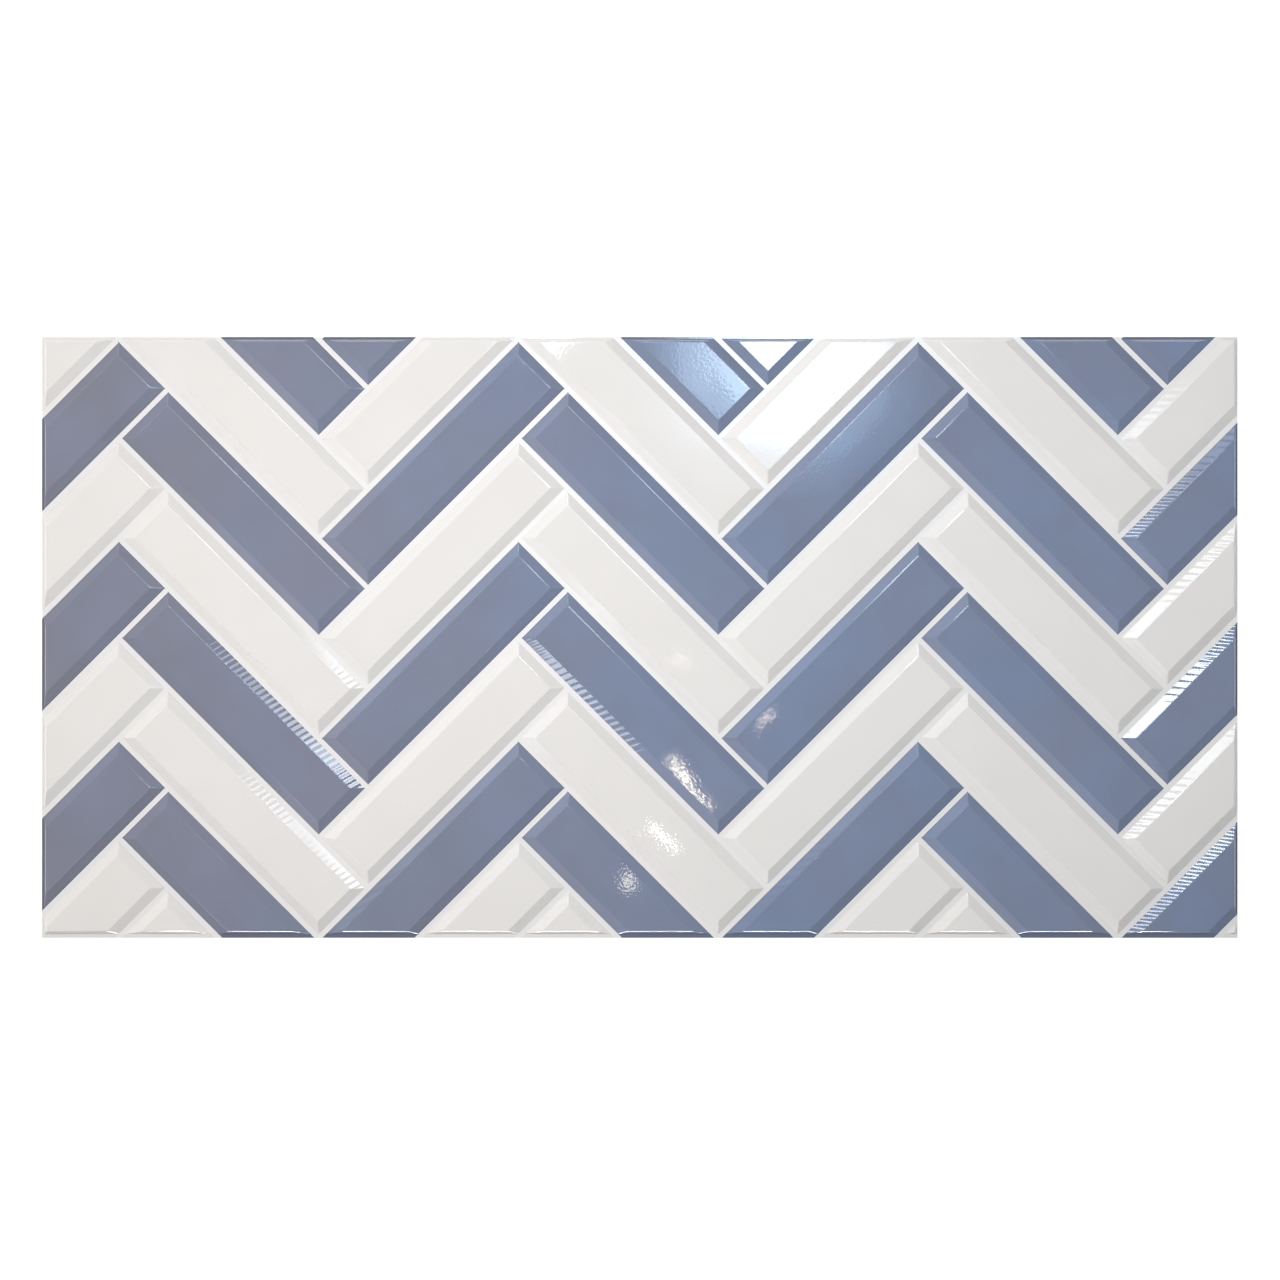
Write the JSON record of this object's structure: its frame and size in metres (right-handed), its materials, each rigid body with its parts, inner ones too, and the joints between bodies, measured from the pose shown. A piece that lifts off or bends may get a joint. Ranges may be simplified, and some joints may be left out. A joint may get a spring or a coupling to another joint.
{
  "type": "textured pvc wall panel",
  "caption": "Thermoformed glossy PVC wall panel, one thin sheet with a raised herringbone of bevelled blue-grey and white tiles, flat joints and a narrow flat rim.",
  "frame": {"origin": "under the middle of the panel, in the plane of the back of its joints and rim", "axes": "+X along the panel's length, +Y across it (up in the picture), +Z out of the printed face"},
  "size_m": [0.955, 0.48, 0.004],
  "materials": {
    "pvc_sheet": "glossy printed face in blue-grey and white, bare white back"
  },
  "bodies": {
    "root": {"panel": "pvc_sheet"}
  },
  "joints": []
}
